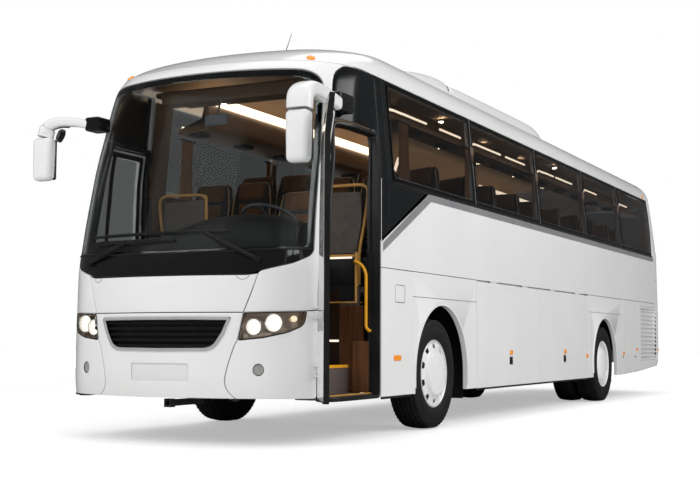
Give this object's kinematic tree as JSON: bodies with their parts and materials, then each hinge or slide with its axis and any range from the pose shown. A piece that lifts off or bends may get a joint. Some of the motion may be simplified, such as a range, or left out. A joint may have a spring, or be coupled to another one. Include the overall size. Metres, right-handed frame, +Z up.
{
  "type": "coach bus",
  "caption": "Two-axle single-deck touring coach with an open left front doorway, glazed sides, luggage flaps, steered front wheels and twin rear wheels.",
  "frame": {"origin": "on the ground under the middle of the coach's outline, with the left door open", "axes": "+X forwards, +Y to the coach's left, +Z up"},
  "size_m": [13.1363, 3.4768, 3.6618],
  "materials": {
    "body_paint": "glossy white coachwork",
    "screen_glass": "clear laminated glass with a dark edge",
    "side_glass": "tinted bonded glass",
    "black_trim": "black rubber and plastic",
    "bright_trim": "brushed bright strip",
    "tyre": "matte black rubber",
    "rim_metal": "satin silver",
    "wheel_cover": "white wheel cover",
    "lamp_clear": "clear lamp lens",
    "lamp_red": "red lamp lens",
    "seat_fabric": "brown and black upholstery",
    "curtain_cloth": "brown gathered curtain",
    "floor_vinyl": "dark floor covering",
    "cabin_plastic": "dark moulded plastic",
    "rack_trim": "warm brown trim",
    "hand_rail": "amber powder coat",
    "frame_steel": "black painted steel",
    "cast_iron": "cast iron",
    "mirror_shell": "white mirror shell on a black foot"
  },
  "bodies": {
    "coach": {"front_bumper": "body_paint", "front_panel": "body_paint", "windscreen_frame": "body_paint", "roof_front_cap": "body_paint", "roof_rear_cap": "body_paint", "roof": "body_paint", "roof_unit": "body_paint", "side_walls": "body_paint", "side_skirts": "body_paint", "rear_bumper": "body_paint", "rear_corners": "body_paint", "rear_upper": "body_paint", "right_door": "body_paint", "windscreen": "screen_glass", "side_glass": "side_glass", "rear_window": "side_glass", "right_door_glass": "side_glass", "door_frames": "black_trim", "front_grille": "black_trim", "side_louvres": "black_trim", "wipers": "black_trim", "mudflaps": "black_trim", "wheelhouses": "black_trim", "door_hinge_brackets": "black_trim", "bright_strips": "bright_trim", "front_lamps": "lamp_clear", "tail_lamps": "lamp_red", "seats": "seat_fabric", "driver_seat": "seat_fabric", "cabin_floor": "floor_vinyl", "entrance_steps": "floor_vinyl", "dashboard": "cabin_plastic", "luggage_racks": "rack_trim", "curtains": "curtain_cloth", "hand_rails": "hand_rail", "side_frames": "frame_steel", "underframe": "frame_steel", "luggage_hold": "frame_steel", "front_axle": "frame_steel", "rear_axle": "frame_steel", "engine": "cast_iron", "mirrors": "mirror_shell"},
    "left_door_leaf": {"left_door": "body_paint", "left_door_glass": "side_glass"},
    "left_front_flap_body": {"left_front_flap": "body_paint"},
    "left_rear_flap_body": {"left_rear_flap": "body_paint"},
    "right_front_flap_body": {"right_front_flap": "body_paint"},
    "right_rear_flap_body": {"right_rear_flap": "body_paint"},
    "engine_hatch_body": {"engine_hatch": "body_paint"},
    "left_knuckle_body": {"left_knuckle": "frame_steel"},
    "right_knuckle_body": {"right_knuckle": "frame_steel"},
    "front_left_wheel": {"front_left_tyre": "tyre", "front_left_rim": "rim_metal"},
    "front_right_wheel": {"front_right_tyre": "tyre", "front_right_rim": "rim_metal"},
    "rear_left_wheels": {"rear_left_tyres": "tyre", "rear_left_rim": "wheel_cover"},
    "rear_right_wheels": {"rear_right_tyres": "tyre", "rear_right_rim": "wheel_cover"},
    "steering_wheel_body": {"steering_wheel": "cabin_plastic"}
  },
  "joints": [
    {"name": "left_door_swing", "type": "hinge", "parent": "coach", "child": "left_door_leaf", "pos_m": [5.698, 1.232, 1.1], "axis": [0, 0, 1], "range_deg": [0, 148]},
    {"name": "left_front_flap_lift", "type": "hinge", "parent": "coach", "child": "left_front_flap_body", "pos_m": [1.2775, 1.269, 1.459], "axis": [1, 0, 0], "range_deg": [0, 95]},
    {"name": "right_front_flap_lift", "type": "hinge", "parent": "coach", "child": "right_front_flap_body", "pos_m": [1.2775, -1.269, 1.459], "axis": [-1, 0, 0], "range_deg": [0, 95]},
    {"name": "left_rear_flap_lift", "type": "hinge", "parent": "coach", "child": "left_rear_flap_body", "pos_m": [-0.866, 1.269, 1.459], "axis": [1, 0, 0], "range_deg": [0, 95]},
    {"name": "right_rear_flap_lift", "type": "hinge", "parent": "coach", "child": "right_rear_flap_body", "pos_m": [-0.866, -1.269, 1.459], "axis": [-1, 0, 0], "range_deg": [0, 95]},
    {"name": "engine_hatch_lift", "type": "hinge", "parent": "coach", "child": "engine_hatch_body", "pos_m": [-6.54574, 0, 1.774], "axis": [0, 1, 0], "range_deg": [0, 85]},
    {"name": "steer_left", "type": "hinge", "parent": "coach", "child": "left_knuckle_body", "pos_m": [3.38, 0.94, 0.522], "axis": [0, 0, 1], "range_deg": [-38, 38]},
    {"name": "steer_right", "type": "hinge", "parent": "coach", "child": "right_knuckle_body", "pos_m": [3.38, -0.94, 0.522], "axis": [0, 0, 1], "range_deg": [-38, 38]},
    {"name": "front_left_roll", "type": "hinge", "parent": "left_knuckle_body", "child": "front_left_wheel", "pos_m": [3.38, 1.1, 0.522], "axis": [0, 1, 0], "continuous": true},
    {"name": "front_right_roll", "type": "hinge", "parent": "right_knuckle_body", "child": "front_right_wheel", "pos_m": [3.38, -1.1, 0.522], "axis": [0, 1, 0], "continuous": true},
    {"name": "rear_left_roll", "type": "hinge", "parent": "coach", "child": "rear_left_wheels", "pos_m": [-2.79, 0.94, 0.522], "axis": [0, 1, 0], "continuous": true},
    {"name": "rear_right_roll", "type": "hinge", "parent": "coach", "child": "rear_right_wheels", "pos_m": [-2.79, -0.94, 0.522], "axis": [0, 1, 0], "continuous": true},
    {"name": "steering_wheel_turn", "type": "hinge", "parent": "coach", "child": "steering_wheel_body", "pos_m": [5.41, 0.6, 1.83], "axis": [-0.4695, 0, 0.8829], "range_deg": [-480, 480]}
  ],
  "couplings": [
    {"joint": "steer_right", "follows": "steer_left", "ratio": 1},
    {"joint": "steering_wheel_turn", "follows": "steer_left", "ratio": 12}
  ]
}
